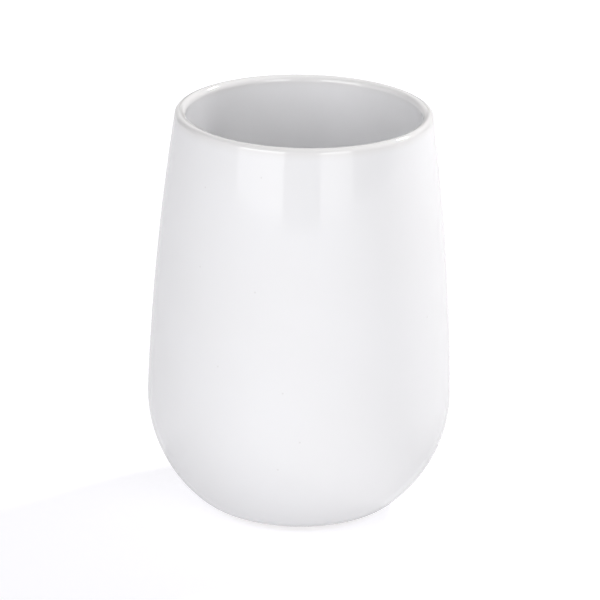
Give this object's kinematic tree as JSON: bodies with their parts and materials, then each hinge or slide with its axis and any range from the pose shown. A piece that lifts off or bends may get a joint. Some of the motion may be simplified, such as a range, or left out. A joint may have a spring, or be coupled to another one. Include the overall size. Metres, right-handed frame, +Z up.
{
  "type": "bathroom tumbler",
  "caption": "Round white-glazed ceramic bathroom tumbler with a soft belly, a tapering wall and a full-round lip, standing on a non-slip disc, for rinse water or toothbrushes.",
  "frame": {"origin": "middle of the surface that the tumbler stands on", "axes": "+Z up along the axis of the cup; X and Y are alike because the cup is round"},
  "size_m": [0.082, 0.082, 0.111],
  "materials": {
    "bare_clay": "fired, unglazed and matt",
    "white_glaze": "glossy",
    "adhesive": "translucent film",
    "rubber": "matt, finely grained"
  },
  "bodies": {
    "root": {"ceramic_body": "bare_clay", "outer_glaze": "white_glaze", "inner_glaze": "white_glaze", "base_glaze": "white_glaze", "adhesive_film": "adhesive", "non_slip_disc": "rubber"}
  },
  "joints": []
}
